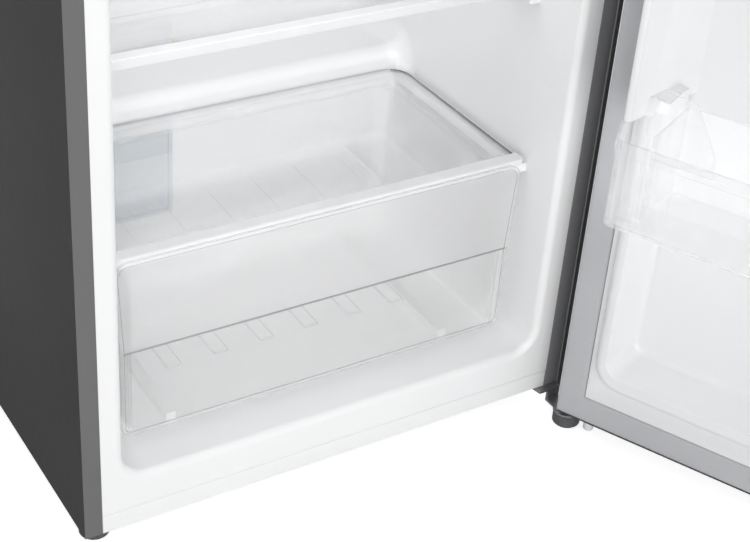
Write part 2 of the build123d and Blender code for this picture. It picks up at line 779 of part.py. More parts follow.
bush_radius = pin_radius + pin_gap + bush_wall
bushes = []
cap_bottom = door_slab(0, door_low, door_low + cap_edge) + door_slab(door_steel, door_low + cap_edge,
                                                                     cap_low)
cap_top = door_slab(0, door_high - cap_edge, door_high) + door_slab(door_steel, cap_high,
                                                                    door_high - cap_edge)
low_bush = post(pivot_x, pivot_y, door_low - bush_flange_thick, door_low, bush_flange)
low_bush += post(pivot_x, pivot_y, door_low, door_low + pin_reach + 1, bush_radius)
low_bush -= post(pivot_x, pivot_y, door_low - 5, door_low + pin_reach + 2, pin_radius + pin_gap)
high_bush = post(pivot_x, pivot_y, door_high, door_high + bush_flange_thick, bush_flange)
high_bush += post(pivot_x, pivot_y, door_high - pin_reach - 1, door_high, bush_radius)
high_bush -= post(pivot_x, pivot_y, door_high - pin_reach - 2, door_high + 5, pin_radius + pin_gap)
cap_bottom -= post(pivot_x, pivot_y, door_low - 1, door_low + pin_reach + 1, bush_radius)
cap_top -= post(pivot_x, pivot_y, door_high - pin_reach - 1, door_high + 1, bush_radius)

recess_outer = block(door_left, door_left + recess_deep, recess_front, recess_back,
                     recess_low, recess_high)
recess_room = block(door_left - 1, door_left + recess_deep - recess_wall, recess_front + recess_wall,
                    recess_back - recess_wall, recess_low + recess_wall, recess_high - recess_wall)
skin -= recess_outer
door_foam -= recess_outer
door_liner -= recess_outer
handle_recess = recess_outer - recess_room

gasket_front = -gasket_gap
magnet_edge = gasket_inset + (gasket_width - magnet_width) / 2


def ring_block(inset, wide, y0, y1, corner):
    """A flat frame that lies on the door's rim."""
    x0, x1 = gasket_inset + inset, width - gasket_inset - inset
    z0, z1 = gasket_low + inset, gasket_high - inset
    outer = block(x0, x1, y0, y1, z0, z1)
    inner = block(x0 + wide, x1 - wide, y0 - 1, y1 + 1, z0 + wide, z1 - wide)
    if corner > 0:
        outer = fillet(outer.edges().filter_by(Axis.Y), corner)
        outer = fillet(outer.faces().sort_by(Axis.Y)[-1].edges(), 2)
    return outer - inner


magnet_inset = (gasket_width - magnet_width) / 2
magnet_back = gasket_front - 1.5 - magnet_thick
gasket = ring_block(0, gasket_width, door_rim, gasket_front, 3)
gasket -= ring_block(magnet_inset, magnet_width, magnet_back, magnet_back + magnet_thick, 0)
magnets = ring_block(magnet_inset + 0.1, magnet_width - 0.2, magnet_back + 0.1,
                     magnet_back + magnet_thick - 0.1, 0)

stop = post(pivot_x - stop_along, pivot_y + stop_across, door_low - stop_length, door_low, stop_radius)
stop = fillet(stop.faces().sort_by(Axis.Z)[0].edges(), 1.5)


def rounded_low(body, vertical, bottom):
    body = fillet(body.edges().filter_by(Axis.Z), vertical)
    return fillet(body.faces().sort_by(Axis.Z)[0].edges(), bottom)


pan_gap_y = pocket_floor + seat_gap + 0.2
wall = bin_wall
step_y = bin_step
front_outer = rounded_low(block(bin_free, bin_hinge, step_y, bin_front, bin_low, bin_rim_high), 6, 5)
rear_outer = rounded_low(block(bin_rear_side, width - bin_rear_side, pan_gap_y, step_y + 20,
                               bin_low, bin_rim_high), 6, 5)
front_room = block(bin_free + wall, bin_hinge - wall, step_y + wall, bin_front - wall,
                   bin_low + wall, bin_rim_high + 1)
rear_room = block(bin_rear_side + wall, width - bin_rear_side - wall, pan_gap_y + wall,
                  step_y + 20, bin_low + wall, bin_rim_high + 1)
front_room = rounded_low(front_room, 4, 3)
rear_room = rounded_low(rear_room, 4, 3)
bin_lower = front_outer + rear_outer - front_room - rear_room
band = block(bin_free, bin_hinge, bin_front - wall, bin_front + bin_band, bin_band_low, bin_rim_high)
band = fillet(band.edges().filter_by(Axis.Z).group_by(Axis.Y)[-1], 2)
bin_lower += fillet(band.faces().sort_by(Axis.Y)[-1].edges().filter_by(Axis.X), 1.2)
for side_sign, end in ((1, bin_free), (-1, bin_hinge)):
    near = end + side_sign * wall
    bin_lower += across([(step_y, bin_rim_high - 10), (bin_front, bin_rim_high - 10),
                         (bin_front, bin_rim_high), (bin_front - 8, bin_ear_shoulder),
                         (step_y, bin_ear_shoulder)], [0, 0, 4, 8, 0], min(end, near), max(end, near))
    ear = [(end, bin_rim_high - 22), (end, bin_ear_shoulder), (end + side_sign * 20, bin_ear_shoulder),
           (end + side_sign * 33, bin_ear_peak), (end + side_sign * 60, bin_ear_peak),
           (end + side_sign * 84, bin_rim_high), (end + side_sign * 88, bin_rim_high - 22)]
    bin_lower += frontal(ear, [0, 6, 10, 10, 12, 10, 0], step_y, step_y + wall)
    tab0, tab1 = end + side_sign * 21, end + side_sign * 34
    bin_lower += block(min(tab0, tab1), max(tab0, tab1), step_y - 24, step_y, boss_high + seat_gap,
                       boss_high + seat_gap + wall)
    boss0, boss1 = middle - side_sign * (middle - tall_outer - 4), end + side_sign * 34
    door_liner += block(min(boss0, boss1), max(boss0, boss1), step_y - 44, step_y - 2,
                        boss_low, boss_high) - buried_side


def upper_bin(low):
    high = low + upper_bin_height
    x0, x1 = upper_bin_side, width - upper_bin_side
    outer = rounded_low(block(x0, x1, pan_gap_y, bin_front, low, high), 8, 5)
    room = rounded_low(block(x0 + wall, x1 - wall, pan_gap_y + wall, bin_front - wall, low + wall,
                             high + 1), 6, 3)
    body = outer - room
    edge = block(x0 + 6, x1 - 6, bin_front - wall, bin_front + bin_band, high - 13, high)
    return body + fillet(edge.edges().filter_by(Axis.X).group_by(Axis.Y)[-1], 1.2)


for x0 in (upper_bin_side - 12, width - upper_bin_side - 12):
    lug = block(x0, x0 + 24, pocket_floor - 1, pocket_floor + 30, upper_bin_low - seat_gap - 12,
                upper_bin_low - seat_gap)
    door_liner += lug - buried_side
door_liner -= block(0, width, door_face, door_face + 4, 0, shell_height)

door_group = {
    "door_skin": skin,
    "door_foam": door_foam,
    "door_liner": door_liner,
    "door_gasket": gasket,
    "gasket_magnets": magnets,
    "door_cap_top": cap_top,
    "door_cap_bottom": cap_bottom,
    "hinge_bushes": Compound([low_bush, high_bush]),
    "door_stop": stop,
    "handle_recess": handle_recess,
    "bin_lower": bin_lower,
    "bin_top": upper_bin(upper_bin_low),
}
swing = Pos(pivot_x, pivot_y, 0) * Rot(0, 0, door_open) * Pos(-pivot_x, -pivot_y, 0)
for name, shape in door_group.items():
    pieces[name] = swing * shape

# Stand the whole at the centre of its own footprint and write it

box = Compound([shape for shape in pieces.values()]).bounding_box()
shift = (-(box.min.X + box.max.X) / 2, -(box.min.Y + box.max.Y) / 2, -box.min.Z)
os.makedirs("parts", exist_ok=True)
for name, shape in pieces.items():
    export_step(Pos(*shift) * shape, "parts/" + name + ".step")
print("shift", shift, "size", box.size, "pieces", len(pieces))
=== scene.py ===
# Under-counter larder fridge with its door open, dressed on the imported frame
import bpy
import math
from mathutils import Matrix, Vector


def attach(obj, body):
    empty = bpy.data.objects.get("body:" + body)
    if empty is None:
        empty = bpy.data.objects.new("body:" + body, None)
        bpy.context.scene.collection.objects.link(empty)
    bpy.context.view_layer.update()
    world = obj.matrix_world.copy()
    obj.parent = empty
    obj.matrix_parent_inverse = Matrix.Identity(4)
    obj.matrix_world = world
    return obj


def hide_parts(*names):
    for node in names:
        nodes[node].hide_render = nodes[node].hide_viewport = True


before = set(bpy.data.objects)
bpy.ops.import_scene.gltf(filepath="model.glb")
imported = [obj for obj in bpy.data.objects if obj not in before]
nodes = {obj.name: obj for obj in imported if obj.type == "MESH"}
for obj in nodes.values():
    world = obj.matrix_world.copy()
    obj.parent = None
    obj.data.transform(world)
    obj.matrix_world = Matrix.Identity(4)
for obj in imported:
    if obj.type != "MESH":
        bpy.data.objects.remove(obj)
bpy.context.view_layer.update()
print("stage: frame loaded")

# The cabinet's lower left front corner in the frame, metres, and how far the door stands open
place = {"cornerX": -0.405278, "cornerY": 0.01857, "cornerZ": 0.032,
         "pivotX": 0.545, "pivotY": -0.030, "doorOpen": 115.4}
corner = Vector((place["cornerX"], place["cornerY"], place["cornerZ"]))


# Shared steps

def selectNone():
    for thing in bpy.context.selected_objects:
        thing.select_set(False)


def pickOnly(piece):
    selectNone()
    piece.select_set(True)
    bpy.context.view_layer.objects.active = piece


def inFrame(x, y, z):
    # millimetres from the cabinet's lower left front corner to metres in the frame
    return corner + Vector((x, y, z)) / 1000


def addBlock(name, low, high):
    # a cube between two corners, given in millimetres from the cabinet's corner
    selectNone()
    low, high = inFrame(*low), inFrame(*high)
    bpy.ops.mesh.primitive_cube_add(size=1, location=(low + high) / 2)
    piece = bpy.context.active_object
    piece.name = name
    piece.data.name = name
    piece.scale = high - low
    bpy.ops.object.transform_apply(location=True, rotation=True, scale=True)
    return piece


def addModifier(piece, kind, **values):
    pickOnly(piece)
    modifier = piece.modifiers.new(kind.lower(), kind)
    for key, value in values.items():
        setattr(modifier, key, value)
    bpy.ops.object.modifier_apply(modifier=modifier.name)


def smooth(piece, angle=30):
    pickOnly(piece)
    bpy.ops.object.shade_smooth_by_angle(angle=math.radians(angle))


def softEdges(piece, width, segments=3, angle=30, finishSlot=-1):
    addModifier(piece, "BEVEL", width=width / 1000, segments=segments, limit_method="ANGLE",
                angle_limit=math.radians(angle), material=finishSlot)
    smooth(piece, angle + 5)


def joinAll(pieces, name):
    selectNone()
    for piece in pieces:
        piece.select_set(True)
    bpy.context.view_layer.objects.active = pieces[0]
    bpy.ops.object.join()
    joined = bpy.context.active_object
    joined.name = name
    joined.data.name = name
    return joined


def swingOpen(piece):
    # a piece that was modelled on the shut door goes to where the open door is
    pivot = inFrame(place["pivotX"] * 1000, place["pivotY"] * 1000, 0)
    turn = (Matrix.Translation(pivot) @ Matrix.Rotation(math.radians(place["doorOpen"]), 4, "Z")
            @ Matrix.Translation(-pivot))
    piece.matrix_world = turn @ piece.matrix_world
    pickOnly(piece)
    bpy.ops.object.transform_apply(location=True, rotation=True, scale=True)
    return piece


def leaveEdit():
    bpy.ops.mesh.select_all(action="DESELECT")
    bpy.ops.object.mode_set(mode="OBJECT")


def editFaces(piece, wanted):
    # edit mode with just the faces selected for which wanted says yes
    pickOnly(piece)
    bpy.ops.object.mode_set(mode="EDIT")
    bpy.ops.mesh.select_mode(type="FACE")
    leaveEdit()
    for face in piece.data.polygons:
        face.select = wanted(face)
    bpy.ops.object.mode_set(mode="EDIT")


def facesFront(face):
    return face.normal.y < -0.9


def copyOfNode(name, newName, angle=24):
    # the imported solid's loose triangles, merged into one clean shell
    source = nodes[name]
    piece = source.copy()
    piece.data = source.data.copy()
    piece.name = newName
    piece.data.name = newName
    piece.parent = None
    piece.matrix_world = Matrix.Identity(4)
    bpy.context.scene.collection.objects.link(piece)
    pickOnly(piece)
    bpy.ops.object.mode_set(mode="EDIT")
    bpy.ops.mesh.select_all(action="SELECT")
    bpy.ops.mesh.remove_doubles(threshold=0.00001)
    bpy.ops.mesh.dissolve_limited(angle_limit=math.radians(0.4))
    bpy.ops.mesh.select_all(action="DESELECT")
    bpy.ops.object.mode_set(mode="OBJECT")
    smooth(piece, angle)
    return piece


def finishPiece(piece, body, slot, material, *stands):
    piece.data.materials.clear()
    piece.data.materials.append(material)
    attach(piece, body)
    if stands:
        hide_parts(*stands)
    return piece


# Finishes

def buildGrain():
    # fine cloudy variation of colour, roughness and height for moulded and painted surfaces
    group = bpy.data.node_groups.new("surfaceGrain", "ShaderNodeTree")
    face = group.interface
    for label, kind, value in (("Colour", "NodeSocketColor", (0.8, 0.8, 0.8, 1)),
                               ("Second Colour", "NodeSocketColor", (0.75, 0.75, 0.75, 1)),
                               ("Patch Scale", "NodeSocketFloat", 12.0),
                               ("Grain Scale", "NodeSocketFloat", 1500.0),
                               ("Stretch", "NodeSocketVector", (1, 1, 1)),
                               ("Smooth", "NodeSocketFloat", 0.3),
                               ("Rough", "NodeSocketFloat", 0.4),
                               ("Height", "NodeSocketFloat", 0.00002)):
        socket = face.new_socket(name=label, in_out="INPUT", socket_type=kind)
        socket.default_value = value
    face.new_socket(name="Colour", in_out="OUTPUT", socket_type="NodeSocketColor")
    face.new_socket(name="Roughness", in_out="OUTPUT", socket_type="NodeSocketFloat")
    face.new_socket(name="Normal", in_out="OUTPUT", socket_type="NodeSocketVector")
    tree, link = group.nodes, group.links.new
    source = tree.new("NodeGroupInput")
    result = tree.new("NodeGroupOutput")
    place3d = tree.new("ShaderNodeTexCoord")
    stretch = tree.new("ShaderNodeVectorMath")
    stretch.operation = "MULTIPLY"
    link(place3d.outputs["Object"], stretch.inputs[0])
    link(source.outputs["Stretch"], stretch.inputs[1])
    patch = tree.new("ShaderNodeTexNoise")
    patch.inputs["Detail"].default_value = 3
    link(place3d.outputs["Object"], patch.inputs["Vector"])
    link(source.outputs["Patch Scale"], patch.inputs["Scale"])
    grain = tree.new("ShaderNodeTexNoise")
    grain.inputs["Detail"].default_value = 2
    link(stretch.outputs[0], grain.inputs["Vector"])
    link(source.outputs["Grain Scale"], grain.inputs["Scale"])
    mix = tree.new("ShaderNodeMix")
    mix.data_type = "RGBA"
    spread = tree.new("ShaderNodeMapRange")
    spread.inputs["From Min"].default_value = 0.35
    spread.inputs["From Max"].default_value = 0.65
    link(patch.outputs["Fac"], spread.inputs["Value"])
    link(spread.outputs["Result"], mix.inputs["Factor"])
    link(source.outputs["Colour"], mix.inputs[6])
    link(source.outputs["Second Colour"], mix.inputs[7])
    rough = tree.new("ShaderNodeMapRange")
    link(grain.outputs["Fac"], rough.inputs["Value"])
    link(source.outputs["Smooth"], rough.inputs["To Min"])
    link(source.outputs["Rough"], rough.inputs["To Max"])
    lift = tree.new("ShaderNodeMath")
    lift.operation = "MULTIPLY"
    link(grain.outputs["Fac"], lift.inputs[0])
    link(source.outputs["Height"], lift.inputs[1])
    bump = tree.new("ShaderNodeBump")
    bump.inputs["Distance"].default_value = 1.0
    link(lift.outputs[0], bump.inputs["Height"])
    link(mix.outputs[2], result.inputs["Colour"])
    link(rough.outputs["Result"], result.inputs["Roughness"])
    link(bump.outputs["Normal"], result.inputs["Normal"])
    return group


grainGroup = buildGrain()


def grainFinish(name, colour, second, metallic=0.0, specular=0.5, coat=0.0, **grain):
    # an opaque finish: painted steel, moulded plastic, rubber or board
    finish = bpy.data.materials.new(name)
    finish.use_nodes = True
    tree, link = finish.node_tree.nodes, finish.node_tree.links.new
    shader = tree["Principled BSDF"]
    shader.inputs["Metallic"].default_value = metallic
    shader.inputs["Specular IOR Level"].default_value = specular
    shader.inputs["Coat Weight"].default_value = coat
    group = tree.new("ShaderNodeGroup")
    group.node_tree = grainGroup
    group.inputs["Colour"].default_value = (*colour, 1)
    group.inputs["Second Colour"].default_value = (*second, 1)
    for key, value in grain.items():
        label = {"patch": "Patch Scale", "grain": "Grain Scale", "stretch": "Stretch",
                 "smoothest": "Smooth", "roughest": "Rough", "height": "Height"}[key]
        group.inputs[label].default_value = value
    link(group.outputs["Colour"], shader.inputs["Base Color"])
    link(group.outputs["Roughness"], shader.inputs["Roughness"])
    link(group.outputs["Normal"], shader.inputs["Normal"])
    return finish


def clearFinish(name, colour, roughness, clearness=0.8, solid=0.5, edge=0.85, ior=1.49,
                waviness=0.12):
    # clear moulded plastic or glass: its faces let most light straight through, its rims show
    finish = bpy.data.materials.new(name)
    finish.use_nodes = True
    tree, link = finish.node_tree.nodes, finish.node_tree.links.new
    shader = tree["Principled BSDF"]
    shader.inputs["Base Color"].default_value = (*colour, 1)
    shader.inputs["Transmission Weight"].default_value = clearness
    shader.inputs["IOR"].default_value = ior
    shader.inputs["Roughness"].default_value = roughness
    where = tree.new("ShaderNodeTexCoord")
    ripple = tree.new("ShaderNodeTexNoise")
    ripple.inputs["Scale"].default_value = 9
    waves = tree.new("ShaderNodeBump")
    waves.inputs["Distance"].default_value = 0.0002
    waves.inputs["Strength"].default_value = waviness
    link(where.outputs["Object"], ripple.inputs["Vector"])
    link(ripple.outputs["Fac"], waves.inputs["Height"])
    link(waves.outputs["Normal"], shader.inputs["Normal"])
    rim = tree.new("ShaderNodeLayerWeight")
    rim.inputs["Blend"].default_value = 0.3
    cover = tree.new("ShaderNodeMapRange")
    cover.inputs["To Min"].default_value = solid
    cover.inputs["To Max"].default_value = edge
    link(rim.outputs["Facing"], cover.inputs["Value"])
    link(cover.outputs["Result"], shader.inputs["Alpha"])
    return finish


whitePlastic = grainFinish("whitePlastic", (0.86, 0.863, 0.867), (0.845, 0.848, 0.853), patch=6,
                           grain=700, smoothest=0.28, roughest=0.36, height=0.000012)
doorWhite = grainFinish("doorWhite", (0.80, 0.805, 0.815), (0.785, 0.79, 0.80), patch=6,
                        grain=700, smoothest=0.28, roughest=0.36, height=0.000012)
sideSteel = grainFinish("sideSteel", (0.026, 0.026, 0.0265), (0.031, 0.031, 0.0315), specular=0.1,
                        patch=5, grain=900, stretch=(1, 1, 0.06), smoothest=0.38, roughest=0.5,
                        height=0.00003)
# Painted sheen: paler copies of the side paint for the panels' front returns, the right one paler
# still
bandSheenLeft = grainFinish("bandSheenLeft", (0.150, 0.150, 0.153), (0.140, 0.140, 0.143), specular=0.25,
                        patch=5, grain=900, stretch=(1, 1, 0.06), smoothest=0.34, roughest=0.42,
                        height=0.00003)
bandSheenRight = grainFinish("bandSheenRight", (0.26, 0.262, 0.275), (0.25, 0.252, 0.265), specular=0.25,
                        patch=5, grain=900, stretch=(1, 1, 0.06), smoothest=0.34, roughest=0.42,
                        height=0.00003)
trimSteel = grainFinish("trimSteel", (0.15, 0.15, 0.155), (0.14, 0.14, 0.145), specular=0.4,
                        patch=5, grain=900, smoothest=0.3, roughest=0.4, height=0.00002)
# Painted highlight: a pale grey for the lit rounded corner of the cabinet's hinge side
beadHighlight = grainFinish("beadHighlight", (0.36, 0.36, 0.365), (0.33, 0.33, 0.335), specular=0.5,
                        patch=5, grain=900, smoothest=0.25, roughest=0.35, height=0.00001)
zincSteel = grainFinish("zincSteel", (0.52, 0.53, 0.54), (0.42, 0.43, 0.45), metallic=0.9,
                        patch=60, grain=500, smoothest=0.3, roughest=0.5, height=0.00001)
blackPaint = grainFinish("blackPaint", (0.016, 0.016, 0.018), (0.022, 0.022, 0.024), patch=20,
                         grain=900, smoothest=0.25, roughest=0.38, height=0.00003)
hingeSteel = grainFinish("hingeSteel", (0.24, 0.24, 0.25), (0.28, 0.28, 0.29), metallic=0.7,
                         patch=30, grain=900, smoothest=0.3, roughest=0.45, height=0.00002)
darkPlastic = grainFinish("darkPlastic", (0.045, 0.045, 0.048), (0.055, 0.055, 0.058), patch=25,
                          grain=1400, smoothest=0.42, roughest=0.6, height=0.00005)
footPlastic = grainFinish("footPlastic", (0.085, 0.087, 0.092), (0.11, 0.112, 0.118), patch=40,
                          grain=1200, smoothest=0.45, roughest=0.6, height=0.00005)
gasketRubber = grainFinish("gasketRubber", (0.47, 0.475, 0.49), (0.44, 0.445, 0.46), patch=9,
                           grain=900, smoothest=0.5, roughest=0.62, height=0.00003, specular=0.3)
blackRubber = grainFinish("blackRubber", (0.02, 0.02, 0.02), (0.03, 0.03, 0.03), patch=30,
                          grain=900, smoothest=0.6, roughest=0.8, height=0.00005)
copperPipe = grainFinish("copperPipe", (0.62, 0.30, 0.17), (0.45, 0.20, 0.12), metallic=1.0,
                         patch=40, grain=700, smoothest=0.25, roughest=0.45, height=0.00001)
rawAluminium = grainFinish("rawAluminium", (0.70, 0.71, 0.72), (0.62, 0.63, 0.64), metallic=1.0,
                           patch=25, grain=500, smoothest=0.3, roughest=0.45, height=0.00001)
cutFoam = grainFinish("cutFoam", (0.72, 0.62, 0.36), (0.66, 0.55, 0.30), patch=60, grain=900,
                      smoothest=0.7, roughest=0.9, height=0.0003)
castIron = grainFinish("castIron", (0.10, 0.10, 0.10), (0.16, 0.15, 0.15), metallic=0.8, patch=60,
                       grain=400, smoothest=0.45, roughest=0.7, height=0.0002)
topBoard = grainFinish("topBoard", (0.075, 0.075, 0.078), (0.09, 0.09, 0.093), patch=18,
                       grain=1100, smoothest=0.35, roughest=0.5, height=0.00004)
magnetStrip = grainFinish("magnetStrip", (0.05, 0.045, 0.04), (0.07, 0.06, 0.055), patch=30,
                          grain=900, smoothest=0.6, roughest=0.7, height=0.00003)
nubPlastic = grainFinish("nubPlastic", (0.74, 0.75, 0.76), (0.70, 0.71, 0.72), patch=40, grain=900,
                         smoothest=0.3, roughest=0.4, height=0.00002)
trimPlastic = grainFinish("trimPlastic", (0.80, 0.81, 0.82), (0.77, 0.78, 0.79), patch=20,
                          grain=900, smoothest=0.2, roughest=0.28, height=0.00001)
platePaper = grainFinish("platePaper", (0.50, 0.56, 0.59), (0.48, 0.54, 0.57), patch=30,
                         grain=1200, smoothest=0.3, roughest=0.4, height=0.000005)
plateLine = grainFinish("plateLine", (0.14, 0.15, 0.16), (0.12, 0.13, 0.14), patch=30, grain=1200,
                        smoothest=0.35, roughest=0.45, height=0.000005)
# Painted shade for the glass plates' rear and right edges, near black on the cover's right edge
glassEdgeShade = grainFinish("glassEdgeShade", (0.42, 0.415, 0.44), (0.50, 0.495, 0.52), patch=14, grain=900,
                        smoothest=0.08, roughest=0.16, height=0.00001)
coverEdgeShade = grainFinish("coverEdgeShade", (0.045, 0.055, 0.062), (0.06, 0.072, 0.08), patch=14,
                        grain=900, smoothest=0.08, roughest=0.16, height=0.00001)
shelfGlass = clearFinish("shelfGlass", (0.965, 0.97, 0.985), 0.0, clearness=0.97, solid=0.25,
                         edge=0.65, ior=1.5)
binPlastic = clearFinish("binPlastic", (0.975, 0.978, 0.983), 0.05, clearness=0.8, solid=0.27,
                         edge=0.7)
drawerPlastic = clearFinish("drawerPlastic", (0.985, 0.986, 0.99), 0.02, clearness=0.4, solid=0.13,
                            edge=0.5)
frostPlastic = clearFinish("frostPlastic", (0.90, 0.902, 0.908), 0.32, clearness=0.66, solid=0.42,
                           edge=0.8)
# Painted shade: a grey, mostly solid finish for the rims, moulded line and rib of the clear plastic
# parts
rimPaintedShade = clearFinish("rimPaintedShade", (0.40, 0.405, 0.42), 0.12, clearness=0.2, solid=0.75,
                         edge=0.95)
print("stage: finishes made")

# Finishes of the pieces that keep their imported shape

nodeFinish = {
    whitePlastic: "inner_liner front_strip control_housing drain_tube drip_tray thermostat_knob",
    doorWhite: "door_liner",
    sideSteel: "side_panel_left side_panel_right door_skin",
    zincSteel: "top_panel back_panel base_pan bay_liner hinge_screws compressor_springs",
    cutFoam: "cabinet_foam door_foam",
    topBoard: "worktop",
    darkPlastic: "hinge_cover relay_box mains_inlet wall_spacers door_cap_top door_cap_bottom "
                 "handle_recess lamp condenser_brackets thermostat",
    footPlastic: "foot_left foot_right rear_feet",
    blackPaint: "compressor_shell condenser_tube condenser_wires",
    castIron: "compressor_pump",
    blackRubber: "compressor_grommets",
    copperPipe: "suction_pipe discharge_pipe filter_drier",
    rawAluminium: "evaporator",
    drawerPlastic: "crisper_drawer",
    binPlastic: "bin_lower bin_top lamp_lens",
    shelfGlass: "crisper_glass shelf_lower_glass shelf_upper_glass",
    trimPlastic: "crisper_trim shelf_lower_front_trim shelf_lower_rear_trim "
                 "shelf_upper_front_trim shelf_upper_rear_trim",
    gasketRubber: "door_gasket",
    magnetStrip: "gasket_magnets",
    hingeSteel: "lower_hinge upper_hinge",
    nubPlastic: "door_stop hinge_bushes",
}
for finish, names in nodeFinish.items():
    for name in names.split():
        kept = nodes[name]
        kept.data.materials.clear()
        kept.data.materials.append(finish)
print("stage: packed pieces painted")

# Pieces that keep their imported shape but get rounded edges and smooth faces

softened = {
    # node: (new name, body, slot, finish, edge width in mm)
    "side_panel_left": ("sideSheetLeft", "cabinet", "side_dark", sideSteel, 0.35),
    "side_panel_right": ("sideSheetRight", "cabinet", "side_dark", sideSteel, 0.35),
    "front_strip": ("frontStrip", "cabinet", "white_plastic", whitePlastic, 0.5),
    "worktop": ("worktopBoard", "cabinet", "worktop_board", topBoard, 0.6),
    "lower_hinge": ("lowerHinge", "cabinet", "steel_black", hingeSteel, 0.5),
    "upper_hinge": ("upperHinge", "cabinet", "steel_black", hingeSteel, 0.5),
    "hinge_cover": ("hingeCover", "cabinet", "dark_plastic", darkPlastic, 0.6),
    "compressor_shell": ("compressorShell", "cabinet", "black_paint", blackPaint, 0.6),
    "relay_box": ("relayBox", "cabinet", "dark_plastic", darkPlastic, 1.2),
    "drip_tray": ("dripTray", "cabinet", "white_plastic", whitePlastic, 0.8),
    "condenser_tube": ("condenserTube", "cabinet", "black_paint", blackPaint, 0),
    "suction_pipe": ("suctionPipe", "cabinet", "copper", copperPipe, 0),
    "discharge_pipe": ("dischargePipe", "cabinet", "copper", copperPipe, 0),
    "filter_drier": ("filterDrier", "cabinet", "copper", copperPipe, 0),
    "condenser_brackets": ("condenserBrackets", "cabinet", "dark_plastic", darkPlastic, 0.6),
    "control_housing": ("controlHousing", "cabinet", "white_plastic", whitePlastic, 0),
    "mains_inlet": ("mainsInlet", "cabinet", "dark_plastic", darkPlastic, 1.0),
    "wall_spacers": ("wallSpacers", "cabinet", "dark_plastic", darkPlastic, 1.0),
    "rear_feet": ("rearFeet", "cabinet", "foot_plastic", footPlastic, 0),
    "inner_liner": ("innerLiner", "cabinet", "white_plastic", whitePlastic, 0),
    "thermostat_knob": ("thermostatKnob", "thermostat_knob", "white_plastic", whitePlastic, 0.5),
    "crisper_glass": ("crisperGlass", "crisper_cover", "glass", shelfGlass, 0.4),
    "shelf_lower_glass": ("shelfLowerGlass", "shelf_lower", "glass", shelfGlass, 0.4),
    "shelf_upper_glass": ("shelfUpperGlass", "shelf_upper", "glass", shelfGlass, 0.4),
    "crisper_trim": ("crisperTrim", "crisper_cover", "trim_clear", trimPlastic, 0.7),
    "shelf_lower_front_trim": ("shelfLowerFrontTrim", "shelf_lower",
                               "trim_clear", trimPlastic, 0.8),
    "shelf_lower_rear_trim": ("shelfLowerRearTrim", "shelf_lower",
                               "trim_clear", trimPlastic, 0.8),
    "shelf_upper_front_trim": ("shelfUpperFrontTrim", "shelf_upper",
                               "trim_clear", trimPlastic, 0.8),
    "shelf_upper_rear_trim": ("shelfUpperRearTrim", "shelf_upper",
                               "trim_clear", trimPlastic, 0.8),
    "crisper_drawer": ("crisperDrawer", "crisper_drawer", "clear_plastic", drawerPlastic, 1.1),
    "door_skin": ("doorSkin", "door", "side_dark", sideSteel, 0.2),
    "door_liner": ("doorLiner", "door", "white_plastic", doorWhite, 0),
    "door_cap_top": ("doorCapTop", "door", "dark_plastic", darkPlastic, 0.5),
    "door_cap_bottom": ("doorCapBottom", "door", "dark_plastic", darkPlastic, 0.5),
    "handle_recess": ("handleRecess", "door", "dark_plastic", darkPlastic, 0.6),
    "door_stop": ("doorStop", "door", "nub", nubPlastic, 0),
    "bin_lower": ("binLower", "bin_lower", "clear_plastic", binPlastic, 0.6),
    "bin_top": ("binTop", "bin_top", "clear_plastic", binPlastic, 0.6),
    "foot_left": ("footLeft", "foot_left", "foot_plastic", footPlastic, 0.25),
    "foot_right": ("footRight", "foot_right", "foot_plastic", footPlastic, 0.25),
}
for node, (newName, body, slotName, finish, edge) in softened.items():
    piece = copyOfNode(node, newName)
    piece.data.materials.clear()
    piece.data.materials.append(finish)
    # The clear pieces' bevelled rims take the painted rim shade
    clear = finish in (drawerPlastic, binPlastic)
    if clear:
        piece.data.materials.append(rimPaintedShade)
    if edge > 0:
        softEdges(piece, edge, segments=2, angle=38, finishSlot=1 if clear else -1)
    piece.visible_shadow = finish not in (drawerPlastic, binPlastic, shelfGlass)
    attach(piece, body)
    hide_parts(node)

# The top cap's many-sided faces are cut into triangles, which stay the same in every pose

pickOnly(bpy.data.objects["doorCapTop"])
bpy.ops.object.mode_set(mode="EDIT")
bpy.ops.mesh.select_all(action="SELECT")
bpy.ops.mesh.quads_convert_to_tris(quad_method="BEAUTY", ngon_method="BEAUTY")
leaveEdit()

# The panels' front returns get paler copies of the side paint, a painted sheen for the light they
# catch, the right one paler still

sheenBandLook = {"facing": -0.6, "reach": 0.002}
for name, band in (("sideSheetLeft", bandSheenLeft), ("sideSheetRight", bandSheenRight)):
    sheet = bpy.data.objects[name]
    sheet.data.materials.append(band)
    for face in sheet.data.polygons:
        if (face.normal.y < sheenBandLook["facing"]
                and face.center.y < place["cornerY"] + sheenBandLook["reach"]):
            face.material_index = 1

# Painted shade on the glass plates' thin rear and right edges, darkest on the cover's right edge

for name in ("crisperGlass", "shelfLowerGlass", "shelfUpperGlass"):
    plate = bpy.data.objects[name]
    plate.data.materials.append(glassEdgeShade)
    if name == "crisperGlass":
        plate.data.materials.append(coverEdgeShade)
    for face in plate.data.polygons:
        onRight = face.normal.x > 0.5
        if abs(face.normal.z) < 0.5 and (face.normal.y > 0.3 or onRight):
            face.material_index = 2 if name == "crisperGlass" and onRight else 1

# The upper half of the drawer's front is frosted

